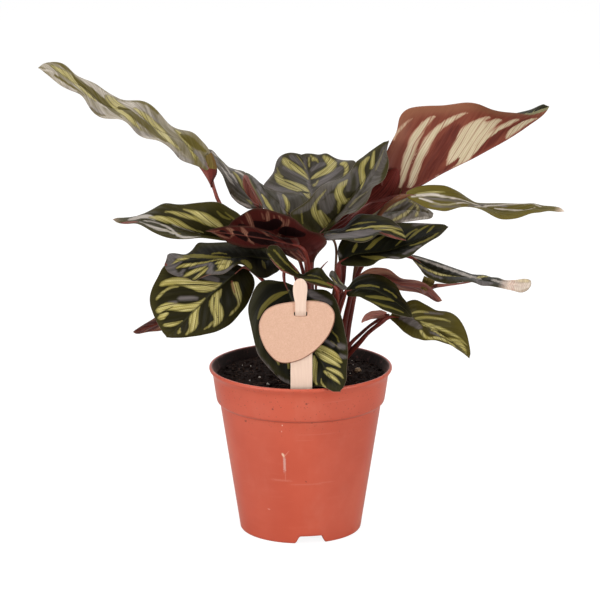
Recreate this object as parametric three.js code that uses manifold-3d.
// Potted calathea: a nursery pot with soil, a clump of patterned leaves on
// long petioles, and a bare label card on a thin stake.
// Units mm, +Z up, origin at the centre of the pot's resting ring.
import * as THREE from "three";
import Module from "manifold-3d";

// ---------------------------------------------------------------- sizes
const POT_HEIGHT = 110;          // top of the rim
const POT_RIM_R = 60;            // outer radius of the flared lip
const COLLAR_TOP_R = 57.4;       // collar under the lip
const COLLAR_LOW_R = 55.5;       // collar just above the step
const COLLAR_LOW_Z = 89;
const STEP_R = 52.95;            // wall just under the step
const STEP_Z = 86;
const POT_BASE_R = 40;           // foot of the wall
const WALL = 1.8;                // wall thickness
const FLOOR_LOW_Z = 5;           // raised floor, underside
const FLOOR_TOP_Z = 7;           // raised floor, top side
const POT_SEGMENTS = 56;
const NOTCH_COUNT = 3;           // drainage notches in the foot ring
const NOTCH_WIDTH = 20.5;
const NOTCH_TOP_WIDTH = 15;
const NOTCH_TURN = (9.8 * Math.PI) / 180; // the front notch sits a little to the right of the middle
const NOTCH_HEIGHT = 5.2;        // leaves the floor's underside open to the side
const DRAIN_HOLE_R = 4;
const DRAIN_RING_R = 22;
const SOIL_TOP_Z = 104.6;
const SOIL_BUMP = 0.7;
const CLEARANCE = 0.3;           // gap between pieces that touch
const LEAF_THICKNESS = 1.0;
const LEAF_ARCH = 0.05;          // bulge of each half, share of its width
const STAKE_Y = -52.4;            // lower part of the stake
const STAKE_THICK = 1.0;
const STAKE_BOTTOM_Z = 91;
const STAKE_HALF = 6.95;         // half width of the lower strip
const NECK_HALF = 3.55;
const HEAD_HALF = 4.6;
const STAKE_TOP_Z = 181.4;
const SLOT_Z = 158.4;            // where the stake passes the card
const CARD_THICK = 0.8;
const CARD_Y = STAKE_Y - 1.3;    // mid plane of the card
const SLOT_HALF_W = 4.4;
const SLOT_HALF_H = 1.75;

// Each leaf: rows from base to tip, [left margin | midrib | right margin] xyz.
const LEAF_ROWS = {
  "01": [
    [-60.22, 14.0, 236.16, -58.59, 14.0, 236.82, -56.96, 14.0, 237.48],
    [-65.88, 8.1, 240.62, -61.77, 12.8, 242.45, -57.63, 17.5, 244.29],
    [-71.94, 3.84, 243.83, -66.11, 11.6, 247.35, -60.23, 19.36, 250.9],
    [-77.76, 0.71, 247.14, -71.4, 10.4, 251.79, -64.97, 20.09, 256.5],
    [-81.91, -2.38, 252.79, -76.18, 9.2, 256.93, -70.39, 20.78, 261.15],
    [-86.66, -5.29, 257.8, -82.14, 8.0, 260.21, -77.55, 21.29, 262.7],
    [-92.47, -7.36, 261.15, -88.42, 6.8, 263.35, -84.29, 20.96, 265.62],
    [-98.9, -8.57, 262.52, -94.12, 5.6, 266.82, -89.27, 19.77, 271.23],
    [-104.63, -9.59, 265.72, -99.37, 4.4, 271.32, -94.03, 18.39, 277.03],
    [-108.87, -10.96, 270.98, -104.38, 3.17, 276.2, -99.82, 17.31, 281.52],
    [-113.87, -12.52, 275.2, -110.37, 1.85, 279.08, -106.81, 16.22, 283.04],
    [-120.23, -13.78, 276.2, -117.17, 0.38, 279.8, -114.05, 14.53, 283.49],
    [-126.71, -14.66, 277.09, -123.61, -1.2, 281.8, -120.46, 12.26, 286.6],
    [-132.08, -15.48, 280.78, -129.3, -2.8, 285.79, -126.47, 9.88, 290.89],
    [-135.7, -16.37, 286.39, -133.99, -4.38, 290.88, -132.26, 7.62, 295.44],
    [-139.22, -16.92, 291.79, -138.93, -5.85, 295.22, -138.63, 5.22, 298.7],
    [-145.1, -16.64, 294.63, -144.87, -7.17, 298.55, -144.63, 2.29, 302.53],
    [-151.06, -15.76, 297.27, -150.27, -8.4, 302.7, -149.48, -1.04, 308.16],
    [-156.36, -14.86, 301.02, -155.71, -9.6, 306.11, -155.06, -4.34, 311.22],
    [-161.43, -13.73, 305.08, -161.67, -10.8, 308.22, -161.9, -7.87, 311.36],
    [-166.8, -12.48, 308.16, -166.84, -12.0, 308.67, -166.88, -11.52, 309.18],
  ],
  "02": [
    [-28.17, 38.0, 204.41, -25.52, 38.0, 206.44, -22.87, 38.0, 208.47],
    [-30.94, 32.33, 207.83, -27.6, 38.38, 209.12, -24.24, 44.42, 210.43],
    [-34.4, 28.72, 208.46, -30.02, 38.75, 210.63, -25.59, 48.78, 212.85],
    [-37.55, 27.05, 210.46, -32.49, 39.12, 212.93, -27.37, 51.2, 215.45],
    [-40.61, 26.25, 212.41, -34.92, 39.47, 215.3, -29.16, 52.68, 218.25],
    [-43.26, 25.72, 214.93, -37.21, 39.67, 217.96, -31.07, 53.62, 221.07],
    [-45.53, 25.19, 217.74, -39.42, 39.62, 220.73, -33.23, 54.06, 223.8],
    [-47.07, 24.6, 221.12, -41.27, 39.36, 223.83, -35.38, 54.12, 226.62],
    [-48.4, 24.05, 224.58, -43.3, 39.0, 226.63, -38.12, 53.95, 228.76],
    [-49.62, 23.69, 228.04, -45.6, 38.62, 228.84, -41.52, 53.54, 229.69],
    [-50.86, 23.66, 231.43, -47.9, 38.19, 231.06, -44.9, 52.72, 230.72],
    [-52.72, 23.99, 234.44, -50.42, 37.65, 233.41, -48.08, 51.31, 232.42],
    [-54.98, 24.67, 237.07, -52.77, 36.98, 236.17, -50.52, 49.3, 235.29],
    [-57.44, 25.73, 239.46, -55.19, 36.25, 238.87, -52.92, 46.77, 238.3],
    [-59.27, 27.39, 242.25, -57.23, 35.5, 241.88, -55.18, 43.61, 241.52],
    [-61.13, 30.14, 244.84, -59.23, 34.75, 244.93, -57.32, 39.36, 245.03],
    [-60.51, 33.35, 247.52, -60.24, 34.0, 247.53, -59.97, 34.65, 247.55],
  ],
  "2b": [
    [-10.78, 3.72, 209.12, -5.59, 3.72, 208.46, -0.4, 3.72, 211.77],
    [-13.25, -2.16, 211.03, -7.59, 4.47, 210.0, 1.06, 7.5, 213.84],
    [-15.73, -6.0, 212.5, -9.58, 5.22, 211.55, 1.69, 11.23, 215.89],
    [-18.21, -7.73, 213.51, -11.3, 5.97, 213.38, -0.1, 14.96, 217.78],
    [-20.44, -8.33, 214.91, -13.03, 6.72, 215.2, -2.15, 18.56, 219.51],
    [-22.64, -8.36, 216.26, -14.77, 7.47, 217.02, -5.27, 21.73, 219.43],
    [-24.85, -8.09, 217.54, -16.69, 8.22, 218.66, -8.43, 24.26, 219.41],
    [-26.2, -7.63, 219.67, -18.61, 8.97, 220.3, -11.62, 26.04, 219.36],
    [-27.51, -6.93, 221.79, -20.53, 9.72, 221.93, -14.82, 27.15, 219.37],
    [-28.82, -5.85, 223.82, -22.46, 10.47, 223.57, -17.85, 27.71, 220.13],
    [-30.13, -4.36, 225.78, -24.22, 11.22, 225.38, -20.72, 27.79, 221.56],
    [-31.45, -2.49, 227.66, -25.97, 11.97, 227.19, -23.62, 27.46, 222.98],
    [-32.78, -0.26, 229.48, -27.73, 12.72, 229.0, -26.36, 26.73, 224.71],
    [-34.09, 2.37, 231.22, -29.55, 13.47, 230.75, -28.72, 25.55, 227.12],
    [-35.4, 5.66, 232.86, -31.55, 14.22, 232.3, -30.69, 23.64, 230.03],
    [-36.73, 10.12, 234.26, -33.55, 14.97, 233.86, -32.87, 20.37, 232.9],
    [-35.93, 15.14, 235.46, -35.55, 15.72, 235.42, -35.46, 16.4, 235.29],
  ],
  "03": [
    [-39.39, 2.0, 192.21, -37.44, 2.0, 193.54, -32.85, 2.0, 201.53],
    [-44.55, -6.7, 194.54, -42.79, 0.88, 194.1, -36.44, 0.88, 206.94],
    [-49.72, -12.95, 196.39, -48.15, -0.25, 194.66, -40.45, -0.25, 211.85],
    [-54.88, -16.83, 198.01, -53.43, -1.38, 195.72, -45.69, -1.38, 215.39],
    [-60.07, -19.5, 199.36, -58.7, -2.5, 196.88, -50.97, -2.34, 218.83],
    [-65.3, -21.44, 200.07, -63.87, -3.62, 198.42, -56.92, -2.34, 219.94],
    [-70.54, -22.74, 199.83, -68.99, -4.75, 200.16, -63.16, -0.42, 219.2],
    [-75.82, -23.52, 199.75, -74.09, -5.88, 201.9, -69.45, 2.71, 217.87],
    [-81.1, -23.98, 200.08, -79.2, -7.0, 203.64, -75.71, 4.86, 216.7],
    [-86.27, -24.35, 201.18, -84.29, -8.12, 205.37, -81.91, 5.08, 216.82],
    [-91.19, -24.76, 203.12, -89.48, -9.25, 206.63, -88.06, 4.31, 217.49],
    [-95.87, -25.09, 205.63, -94.7, -10.38, 207.72, -93.67, 3.46, 215.21],
    [-100.4, -25.05, 208.39, -99.91, -11.5, 208.82, -99.07, 2.25, 212.39],
    [-105.21, -24.39, 210.15, -105.11, -12.62, 209.91, -104.71, 0.06, 210.45],
    [-110.6, -22.83, 209.62, -110.34, -13.75, 210.61, -110.47, -3.52, 209.61],
    [-116.01, -20.0, 209.45, -115.61, -14.88, 210.88, -116.31, -8.95, 210.67],
    [-120.92, -16.67, 210.96, -120.86, -16.0, 211.15, -120.95, -15.31, 211.13],
  ],
  "4a": [
    [8.54, -20.22, 183.06, 4.1, -20.22, 184.05, -0.4, -20.22, 184.05],
    [10.49, -24.8, 189.63, 1.9, -20.97, 187.23, -3.3, -14.8, 184.27],
    [14.16, -25.7, 194.17, -0.3, -21.72, 190.42, -6.22, -11.32, 184.96],
    [16.9, -24.96, 198.62, -2.75, -22.47, 193.34, -9.14, -9.77, 186.07],
    [13.28, -27.16, 203.51, -5.63, -23.2, 195.82, -12.09, -9.21, 187.35],
    [8.17, -32.48, 206.6, -8.5, -23.87, 198.29, -15.04, -9.14, 188.74],
    [3.19, -37.08, 209.87, -11.46, -24.41, 200.56, -17.98, -9.34, 190.2],
    [-1.11, -39.04, 214.06, -14.73, -24.84, 202.33, -20.92, -9.74, 191.71],
    [-5.61, -39.56, 217.57, -17.98, -25.22, 204.09, -23.85, -10.37, 193.28],
    [-10.93, -39.62, 219.49, -21.27, -25.58, 205.75, -26.77, -11.22, 194.88],
    [-16.28, -39.06, 221.21, -24.81, -25.85, 206.72, -29.68, -12.15, 196.53],
    [-21.7, -37.8, 222.56, -28.34, -25.89, 207.63, -32.56, -13.08, 198.23],
    [-27.25, -36.28, 222.95, -31.88, -25.69, 208.49, -35.43, -14.04, 199.93],
    [-32.67, -34.85, 221.27, -35.48, -25.35, 208.87, -38.3, -15.15, 201.66],
    [-37.54, -32.98, 217.9, -39.13, -24.97, 208.78, -41.07, -16.82, 203.66],
    [-42.36, -29.5, 213.98, -42.79, -24.6, 208.7, -43.78, -19.82, 205.99],
    [-46.41, -24.7, 209.13, -46.45, -24.22, 208.62, -46.57, -23.62, 208.28],
  ],
  "4b": [
    [-1.29, -30.46, 202.16, -0.4, -30.46, 196.92, -2.95, -30.46, 192.99],
    [-5.11, -35.8, 203.31, -4.13, -31.21, 198.05, -6.65, -26.83, 193.19],
    [-8.91, -39.97, 204.41, -7.85, -31.96, 199.17, -10.36, -24.34, 193.64],
    [-12.68, -42.79, 205.47, -11.59, -32.71, 200.2, -14.11, -23.17, 194.23],
    [-16.35, -44.68, 206.85, -15.33, -33.44, 201.22, -17.91, -22.94, 194.44],
    [-19.91, -45.9, 208.38, -19.06, -34.11, 202.22, -21.73, -23.3, 194.31],
    [-23.3, -46.53, 210.25, -22.84, -34.65, 202.96, -25.53, -23.99, 193.97],
    [-26.85, -46.73, 211.64, -26.62, -35.08, 203.63, -29.32, -24.83, 193.79],
    [-30.43, -46.7, 212.92, -30.4, -35.46, 204.3, -33.13, -25.72, 194.31],
    [-34.21, -46.57, 213.23, -34.18, -35.82, 204.94, -36.9, -26.58, 194.94],
    [-38.0, -46.25, 213.46, -37.96, -36.09, 205.53, -40.55, -27.31, 196.24],
    [-41.81, -45.56, 213.46, -41.75, -36.13, 206.07, -44.19, -27.79, 197.49],
    [-45.63, -44.46, 213.07, -45.55, -35.93, 206.55, -47.54, -28.03, 199.38],
    [-49.44, -43.03, 212.3, -49.36, -35.59, 206.85, -50.81, -28.34, 201.43],
    [-53.22, -41.13, 211.09, -53.18, -35.21, 207.1, -53.95, -29.22, 203.8],
    [-57.0, -38.29, 209.47, -57.01, -34.84, 207.36, -57.25, -31.27, 205.96],
    [-60.83, -35.06, 207.98, -60.83, -34.46, 207.61, -60.88, -33.81, 207.36],
  ],
  "05": [
    [-13.9, -22.04, 178.27, -10.68, -22.04, 183.15, -16.44, -22.04, 191.06],
    [-17.83, -22.94, 176.4, -14.28, -22.94, 184.68, -19.99, -21.32, 192.57],
    [-21.77, -24.37, 174.68, -17.87, -23.84, 186.22, -23.55, -19.58, 193.85],
    [-25.92, -27.67, 175.35, -21.56, -24.74, 187.27, -27.28, -17.61, 194.59],
    [-29.74, -32.97, 178.63, -25.34, -25.64, 187.87, -31.1, -16.44, 195.25],
    [-32.74, -38.19, 183.06, -29.13, -26.54, 188.47, -34.91, -16.04, 196.07],
    [-36.0, -41.66, 186.76, -32.91, -27.44, 188.98, -38.8, -16.1, 196.3],
    [-39.97, -43.43, 187.85, -36.7, -28.34, 188.94, -42.7, -16.55, 196.4],
    [-43.57, -44.03, 185.59, -40.49, -29.24, 188.89, -46.58, -17.34, 196.58],
    [-47.08, -43.91, 182.88, -44.27, -30.14, 188.85, -50.46, -18.36, 196.65],
    [-51.21, -43.54, 181.27, -48.05, -31.04, 189.03, -54.33, -19.56, 196.75],
    [-55.61, -42.81, 181.09, -51.83, -31.94, 189.28, -58.18, -21.0, 196.94],
    [-59.89, -41.03, 179.73, -55.61, -32.84, 189.53, -62.02, -22.51, 197.37],
    [-64.06, -38.35, 177.4, -59.38, -33.74, 189.79, -65.65, -23.57, 197.39],
    [-68.23, -36.26, 175.21, -63.14, -34.64, 189.9, -68.21, -24.09, 194.68],
    [-72.16, -35.8, 176.95, -66.88, -35.54, 189.57, -70.82, -24.87, 191.91],
    [-76.46, -36.44, 177.82, -70.61, -36.44, 189.25, -74.25, -26.67, 190.63],
    [-80.62, -37.34, 179.29, -74.34, -37.34, 189.04, -77.99, -29.49, 191.67],
    [-84.4, -38.24, 181.65, -78.09, -38.24, 189.35, -81.69, -32.87, 192.86],
    [-86.51, -39.14, 185.74, -81.84, -39.14, 189.66, -84.41, -36.42, 192.87],
    [-86.12, -40.04, 189.52, -85.59, -40.04, 189.97, -85.95, -39.65, 190.43],
  ],
  "06": [
    [-35.16, -19.31, 179.21, -37.08, -19.31, 180.53, -40.3, -19.31, 181.85],
    [-31.19, -20.99, 175.96, -40.25, -21.56, 178.28, -45.89, -20.41, 185.01],
    [-29.5, -22.68, 171.15, -43.37, -23.81, 176.0, -51.96, -21.56, 186.7],
    [-30.31, -24.43, 166.28, -46.49, -26.06, 173.73, -58.13, -22.79, 187.98],
    [-32.36, -26.2, 161.64, -49.6, -28.28, 171.45, -64.37, -24.12, 188.48],
    [-34.73, -27.91, 157.18, -52.73, -30.36, 169.16, -70.58, -25.46, 188.59],
    [-38.05, -29.47, 153.27, -55.9, -32.18, 166.86, -76.79, -26.75, 188.25],
    [-41.41, -30.91, 149.37, -59.07, -33.79, 164.51, -82.7, -28.02, 186.52],
    [-45.17, -32.37, 145.85, -61.96, -35.31, 161.83, -87.79, -29.42, 183.25],
    [-49.63, -33.93, 143.42, -64.82, -36.82, 159.11, -90.82, -31.05, 178.0],
    [-54.46, -35.65, 141.61, -67.68, -38.37, 156.42, -93.72, -32.94, 172.75],
    [-59.55, -37.59, 140.77, -70.57, -40.04, 153.79, -95.92, -35.14, 167.35],
    [-64.69, -39.74, 140.21, -73.46, -41.83, 151.21, -96.38, -37.66, 161.6],
    [-69.87, -42.05, 140.05, -76.34, -43.68, 148.64, -94.69, -40.42, 156.06],
    [-75.05, -44.43, 140.05, -79.21, -45.56, 146.08, -92.15, -43.31, 150.86],
    [-80.22, -46.86, 140.54, -82.3, -47.43, 143.78, -89.04, -46.29, 145.98],
    [-85.02, -49.21, 140.9, -85.39, -49.31, 141.48, -86.05, -49.2, 141.69],
  ],
  "08": [
    [-70.55, -8.0, 155.86, -69.61, -8.0, 151.84, -68.67, -8.0, 147.82],
    [-74.08, -13.28, 157.16, -72.71, -8.33, 150.48, -71.33, -3.39, 143.76],
    [-77.65, -17.06, 158.1, -75.87, -8.67, 149.2, -74.07, -0.27, 140.22],
    [-80.83, -19.37, 156.92, -79.16, -9.0, 147.49, -77.45, 1.37, 137.97],
    [-84.02, -20.84, 155.39, -82.43, -9.33, 145.71, -80.81, 2.18, 135.92],
    [-87.17, -21.81, 153.65, -85.76, -9.71, 144.13, -84.32, 2.39, 134.51],
    [-89.96, -22.49, 151.29, -88.96, -10.25, 142.5, -87.93, 1.99, 133.61],
    [-92.76, -22.96, 148.88, -92.15, -11.04, 140.93, -91.51, 0.87, 132.9],
    [-95.8, -23.12, 146.72, -95.48, -12.0, 139.86, -95.15, -0.88, 132.94],
    [-99.03, -22.79, 144.67, -98.9, -13.0, 138.96, -98.76, -3.21, 133.21],
    [-102.29, -21.73, 142.39, -102.28, -14.0, 137.87, -102.27, -6.27, 133.33],
    [-105.59, -19.45, 139.73, -105.64, -15.0, 136.75, -105.68, -10.55, 133.76],
    [-108.81, -16.58, 136.92, -108.82, -16.0, 136.53, -108.82, -15.42, 136.14],
  ],
  "09": [
    [-5.51, -34.19, 172.21, -10.62, -34.19, 174.51, -13.82, -34.19, 174.51],
    [-1.05, -35.39, 171.27, -9.1, -35.39, 171.04, -19.82, -33.69, 175.51],
    [3.41, -36.59, 170.34, -7.58, -36.59, 167.57, -25.5, -33.41, 174.16],
    [7.98, -37.79, 170.26, -6.06, -37.79, 164.09, -29.45, -33.72, 169.57],
    [12.58, -38.96, 170.54, -4.54, -38.96, 160.62, -31.87, -34.57, 163.92],
    [16.98, -40.04, 169.88, -3.02, -40.04, 157.12, -33.55, -35.66, 158.15],
    [20.41, -40.96, 167.19, -1.5, -40.96, 153.58, -33.15, -36.91, 152.15],
    [22.96, -41.79, 163.44, 0.09, -41.79, 150.05, -31.9, -38.32, 146.26],
    [24.5, -42.59, 159.2, 1.86, -42.59, 146.6, -30.57, -39.77, 140.4],
    [25.8, -43.4, 154.84, 3.63, -43.4, 143.16, -29.23, -41.06, 134.5],
    [27.04, -44.23, 150.47, 5.4, -44.23, 139.71, -27.43, -42.1, 128.65],
    [27.99, -45.1, 146.03, 7.17, -45.1, 136.28, -23.87, -43.08, 123.74],
    [28.93, -45.99, 141.6, 8.94, -45.99, 132.86, -19.81, -44.12, 119.2],
    [29.76, -46.89, 137.15, 10.72, -46.89, 129.44, -15.45, -45.2, 114.94],
    [30.22, -47.91, 132.67, 12.58, -47.91, 126.1, -10.61, -46.21, 111.25],
    [30.11, -49.4, 128.32, 14.44, -49.4, 122.89, -4.9, -46.69, 109.08],
    [29.78, -51.61, 124.15, 16.42, -51.61, 119.95, 1.21, -47.18, 108.22],
    [29.49, -54.29, 120.11, 18.57, -54.29, 117.26, 7.37, -50.73, 109.51],
    [29.25, -57.09, 116.12, 20.71, -57.09, 114.62, 13.44, -57.06, 111.31],
    [27.7, -59.89, 112.4, 22.86, -59.89, 111.98, 18.97, -61.26, 109.83],
    [25.69, -62.69, 109.41, 24.99, -62.69, 109.35, 24.41, -62.9, 109.03],
  ],
  "10": [
    [20.56, -45.87, 172.22, 21.35, -45.87, 174.12, 22.14, -45.87, 176.01],
    [17.69, -47.89, 173.28, 18.68, -45.7, 175.49, 19.67, -42.99, 177.57],
    [14.84, -49.07, 174.18, 16.07, -45.54, 176.94, 17.32, -41.1, 179.5],
    [12.01, -49.43, 174.92, 13.64, -45.37, 178.57, 15.28, -40.16, 181.96],
    [9.22, -49.63, 175.77, 11.22, -45.2, 180.21, 13.23, -39.48, 184.36],
    [6.45, -50.21, 176.77, 8.2, -45.04, 180.88, 9.96, -38.57, 184.72],
    [3.79, -51.07, 178.15, 5.37, -44.87, 180.89, 6.96, -37.47, 183.38],
    [1.16, -51.78, 179.56, 2.65, -44.7, 180.57, 4.16, -36.53, 181.33],
    [-1.42, -52.04, 180.95, -0.01, -44.54, 180.3, 1.41, -35.99, 179.41],
    [-4.09, -51.84, 182.04, -2.76, -44.37, 181.73, -1.42, -35.88, 181.19],
    [-6.78, -51.26, 183.0, -5.39, -44.2, 183.32, -3.99, -36.13, 183.42],
    [-9.47, -50.32, 183.87, -7.68, -44.03, 185.21, -5.88, -36.69, 186.32],
    [-12.16, -49.02, 184.66, -9.9, -43.81, 187.15, -7.63, -37.49, 189.41],
    [-14.25, -47.33, 186.31, -11.83, -43.53, 189.55, -9.4, -38.48, 192.51],
    [-16.27, -45.38, 187.99, -13.71, -43.2, 191.99, -11.15, -39.69, 195.68],
    [-18.05, -43.67, 189.95, -15.66, -42.87, 194.36, -13.27, -40.93, 198.5],
    [-19.81, -42.67, 192.09, -17.97, -42.54, 196.14, -16.13, -41.69, 200.03],
    [-21.3, -42.2, 194.53, -20.31, -42.2, 197.28, -19.33, -41.86, 199.95],
    [-21.57, -41.87, 196.58, -21.34, -41.87, 197.24, -21.1, -41.79, 197.89],
  ],
  "11": [
    [1.56, 16.36, 215.73, 7.43, 16.36, 215.07, 12.65, 16.36, 216.4],
    [-0.52, 19.92, 218.09, 7.09, 19.92, 216.15, 15.87, 19.92, 218.26],
    [-3.27, 23.47, 219.45, 6.74, 23.47, 217.24, 19.1, 23.47, 220.14],
    [-6.89, 27.03, 219.47, 6.47, 27.03, 218.34, 22.29, 27.03, 222.08],
    [-10.6, 30.58, 218.99, 6.43, 30.58, 219.48, 25.49, 30.58, 224.03],
    [-14.32, 34.14, 218.48, 6.38, 34.14, 220.62, 28.51, 34.14, 226.2],
    [-17.92, 37.69, 218.63, 6.33, 37.69, 221.77, 31.31, 37.69, 228.6],
    [-21.29, 41.25, 219.53, 6.28, 41.25, 222.92, 34.04, 41.25, 231.09],
    [-24.13, 44.72, 221.02, 6.23, 44.72, 224.1, 36.57, 44.72, 233.77],
    [-22.27, 47.86, 223.67, 5.96, 47.86, 225.33, 35.89, 47.86, 236.73],
    [-19.92, 50.5, 226.07, 5.61, 50.5, 226.65, 32.26, 50.5, 236.83],
    [-17.91, 52.8, 228.72, 5.25, 52.8, 228.05, 28.23, 52.8, 236.52],
    [-16.95, 55.0, 231.97, 4.88, 55.0, 229.46, 24.21, 55.0, 237.0],
    [-15.85, 57.05, 235.21, 4.38, 57.05, 230.88, 20.51, 57.05, 238.5],
    [-13.66, 58.83, 237.83, 3.89, 58.83, 232.36, 16.78, 58.83, 239.88],
    [-10.44, 60.33, 239.33, 3.39, 60.33, 233.89, 12.69, 60.33, 238.82],
    [-6.8, 61.69, 239.8, 2.52, 61.69, 235.29, 8.67, 61.69, 238.98],
    [-3.11, 63.03, 239.18, 1.53, 63.03, 236.63, 4.64, 63.03, 239.02],
    [-0.08, 64.36, 238.32, 0.53, 64.36, 237.98, 1.09, 64.36, 238.41],
  ],
  "12": [
    [4.78, -3.65, 200.12, 11.25, -3.65, 198.8, 16.43, -3.65, 199.46],
    [1.27, -2.32, 203.87, 14.63, -2.32, 201.17, 19.52, -8.41, 203.73],
    [-2.37, -0.98, 207.49, 17.59, -0.98, 204.03, 22.77, -11.44, 207.43],
    [-3.72, 0.35, 211.12, 20.56, 0.35, 206.89, 25.77, -12.67, 210.95],
    [-0.03, 1.68, 214.67, 23.52, 1.68, 209.75, 29.02, -12.74, 213.52],
    [3.71, 3.02, 218.19, 26.49, 3.02, 212.62, 33.34, -11.95, 214.37],
    [7.0, 4.59, 222.09, 28.89, 4.35, 215.94, 37.31, -10.56, 216.05],
    [10.38, 7.25, 225.7, 31.22, 5.68, 219.33, 40.63, -9.03, 218.68],
    [14.49, 11.66, 228.11, 33.76, 7.04, 222.54, 43.29, -7.7, 222.0],
    [19.44, 17.03, 229.05, 36.73, 8.52, 225.39, 45.06, -6.38, 225.78],
    [24.5, 21.79, 229.94, 39.46, 10.16, 228.41, 46.53, -4.38, 229.39],
    [29.15, 25.06, 231.83, 41.78, 11.91, 231.74, 50.22, -1.35, 231.36],
    [33.11, 26.85, 235.14, 44.1, 13.7, 235.06, 53.8, 2.14, 233.44],
    [35.86, 27.79, 239.61, 46.53, 15.56, 238.3, 55.92, 5.32, 236.81],
    [39.97, 28.58, 242.83, 49.06, 17.56, 241.46, 57.0, 8.03, 240.66],
    [44.21, 29.38, 245.98, 51.59, 19.7, 244.59, 57.13, 10.76, 244.55],
    [48.51, 29.66, 249.12, 53.93, 21.91, 247.85, 56.13, 14.3, 248.27],
    [52.9, 28.66, 252.33, 56.21, 24.13, 251.16, 56.55, 19.53, 251.69],
    [57.31, 26.9, 254.98, 57.71, 26.35, 254.84, 57.76, 25.66, 254.92],
  ],
  "13": [
    [66.38, 24.0, 223.48, 63.82, 24.0, 217.47, 58.56, 24.0, 218.81],
    [68.78, 36.55, 226.99, 68.78, 25.2, 220.35, 52.86, 22.89, 224.78],
    [71.03, 44.88, 231.4, 74.06, 26.4, 222.68, 51.52, 24.55, 232.36],
    [72.95, 48.97, 236.75, 79.29, 27.6, 225.11, 53.03, 27.14, 239.68],
    [74.78, 50.83, 242.55, 84.42, 28.8, 227.75, 56.25, 28.8, 246.69],
    [77.84, 51.66, 247.97, 89.52, 30.0, 230.44, 59.68, 30.0, 253.75],
    [81.16, 52.16, 253.32, 94.76, 31.2, 232.88, 63.0, 31.2, 260.83],
    [86.2, 52.94, 256.88, 100.08, 32.4, 235.18, 64.62, 32.4, 268.49],
    [91.59, 54.32, 260.03, 105.39, 33.6, 237.5, 69.59, 33.6, 273.99],
    [97.67, 56.24, 261.58, 110.68, 34.8, 239.87, 77.23, 34.8, 275.68],
    [103.87, 58.4, 262.88, 115.87, 36.0, 242.43, 85.21, 36.0, 275.98],
    [110.17, 60.45, 263.74, 121.0, 37.2, 245.12, 93.22, 37.2, 276.02],
    [116.56, 62.15, 264.17, 126.15, 38.4, 247.77, 101.16, 38.24, 276.86],
    [122.93, 63.4, 264.68, 131.32, 39.6, 250.4, 109.04, 38.07, 277.74],
    [129.3, 64.16, 265.03, 136.41, 40.78, 253.17, 116.71, 35.28, 277.05],
    [135.63, 64.29, 265.39, 141.39, 41.85, 256.13, 123.78, 30.79, 274.83],
    [141.89, 63.55, 266.01, 146.28, 42.78, 259.26, 131.31, 27.85, 273.46],
    [147.94, 61.74, 267.63, 151.12, 43.6, 262.46, 139.22, 28.05, 272.66],
    [153.68, 58.51, 269.96, 155.99, 44.4, 265.61, 147.39, 31.08, 271.6],
    [158.91, 53.2, 273.54, 160.4, 45.2, 269.22, 155.54, 37.19, 272.55],
    [163.53, 46.61, 274.33, 163.64, 46.0, 274.0, 163.3, 45.44, 274.24],
  ],
  "14": [
    [67.88, 4.0, 224.63, 68.42, 4.0, 222.64, 68.95, 4.0, 220.66],
    [72.73, 7.19, 226.7, 73.18, 3.4, 222.99, 73.63, -0.39, 219.3],
    [77.99, 9.04, 227.93, 78.1, 2.8, 222.63, 78.21, -3.44, 217.36],
    [83.4, 9.79, 228.46, 83.23, 2.2, 222.09, 83.07, -5.39, 215.77],
    [88.89, 10.33, 228.35, 88.56, 1.6, 221.72, 88.23, -7.13, 215.16],
    [94.28, 11.04, 227.61, 93.83, 0.99, 221.27, 93.37, -9.05, 215.0],
    [99.43, 11.83, 225.38, 98.89, 0.35, 221.05, 98.35, -11.13, 216.79],
    [104.29, 12.3, 222.61, 103.82, -0.38, 220.54, 103.35, -13.06, 218.53],
    [108.7, 12.17, 219.29, 108.6, -1.21, 219.08, 108.48, -14.6, 218.91],
    [113.28, 11.46, 216.52, 113.47, -2.1, 217.36, 113.64, -15.66, 218.23],
    [118.67, 10.29, 216.25, 118.57, -3.0, 216.26, 118.46, -16.29, 216.31],
    [124.03, 8.79, 216.57, 123.54, -3.9, 215.1, 123.05, -16.59, 213.68],
    [129.38, 7.1, 216.98, 128.65, -4.81, 214.24, 127.93, -16.73, 211.57],
    [134.71, 5.36, 217.2, 133.96, -5.78, 214.21, 133.2, -16.93, 211.27],
    [140.03, 3.57, 217.42, 139.21, -6.85, 214.7, 138.39, -17.27, 212.02],
    [145.33, 1.65, 217.85, 144.34, -8.01, 215.76, 143.35, -17.66, 213.71],
    [150.6, -0.45, 218.41, 149.43, -9.2, 216.94, 148.27, -17.95, 215.5],
    [155.68, -2.83, 217.69, 154.59, -10.4, 216.9, 153.5, -17.97, 216.13],
    [160.85, -5.7, 217.75, 159.77, -11.6, 217.31, 158.7, -17.5, 216.88],
    [165.85, -9.44, 217.84, 164.97, -12.8, 217.02, 164.09, -16.16, 216.2],
    [169.76, -13.34, 216.07, 169.58, -14.0, 215.91, 169.41, -14.66, 215.75],
  ],
  "15": [
    [71.1, -16.0, 187.83, 71.43, -16.0, 186.27, 71.77, -16.0, 184.72],
    [75.33, -12.65, 186.42, 74.87, -16.9, 184.5, 74.41, -21.15, 182.59],
    [79.45, -10.76, 184.78, 78.2, -17.8, 182.38, 76.95, -24.84, 180.01],
    [83.49, -10.22, 183.4, 81.49, -18.7, 180.22, 79.5, -27.18, 177.09],
    [87.51, -10.2, 182.14, 85.25, -19.6, 178.59, 82.99, -29.0, 175.09],
    [91.47, -10.3, 180.71, 89.1, -20.5, 177.15, 86.76, -30.7, 173.66],
    [95.42, -10.48, 179.3, 93.12, -21.4, 176.12, 90.83, -32.32, 173.0],
    [99.37, -10.75, 177.91, 97.15, -22.3, 175.37, 94.94, -33.85, 172.9],
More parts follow.
